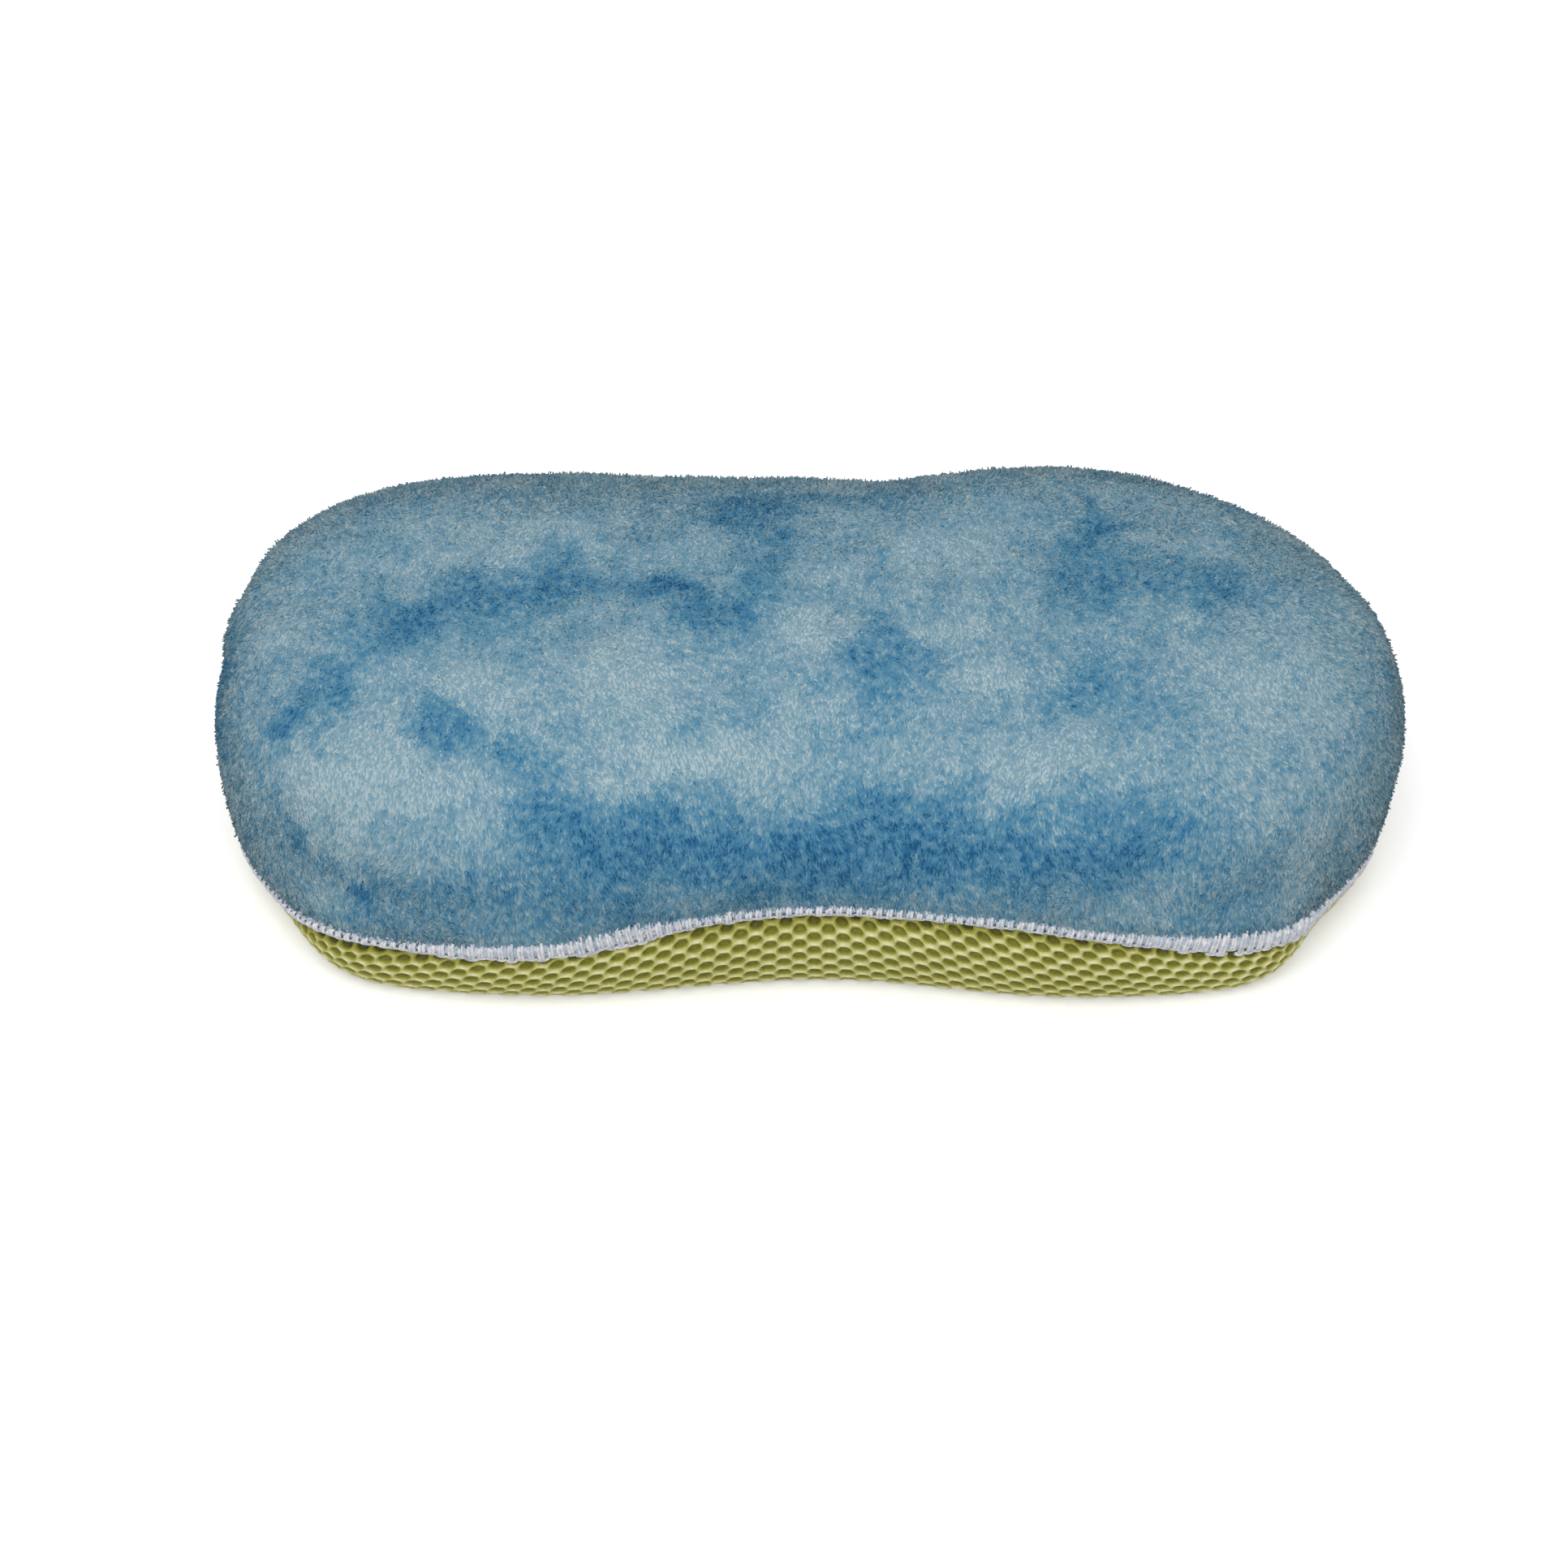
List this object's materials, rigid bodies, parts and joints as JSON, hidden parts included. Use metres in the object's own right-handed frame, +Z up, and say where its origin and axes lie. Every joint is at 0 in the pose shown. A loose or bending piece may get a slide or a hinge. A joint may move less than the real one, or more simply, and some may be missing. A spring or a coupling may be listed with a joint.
{
  "type": "cleaning sponge",
  "caption": "Waisted washing sponge: foam block in a blue plush cover above and a lime honeycomb net cover below, joined by a white overlock seam.",
  "frame": {"origin": "middle of the underside, on the surface that the sponge rests on", "axes": "+X along the length, +Y across the width, +Z up through the plush top"},
  "size_m": [0.2418, 0.12, 0.063],
  "materials": {
    "foam": "open-cell foam, matte",
    "blue_plush": "brushed microfibre pile, matte",
    "lime_net": "knitted polyester spacer net, slightly glossy yarn",
    "white_thread": "textured polyester thread, matte"
  },
  "bodies": {
    "root": {"foam_core": "foam", "fleece_cover": "blue_plush", "net_cover": "lime_net", "overlock_seam": "white_thread"}
  },
  "joints": []
}
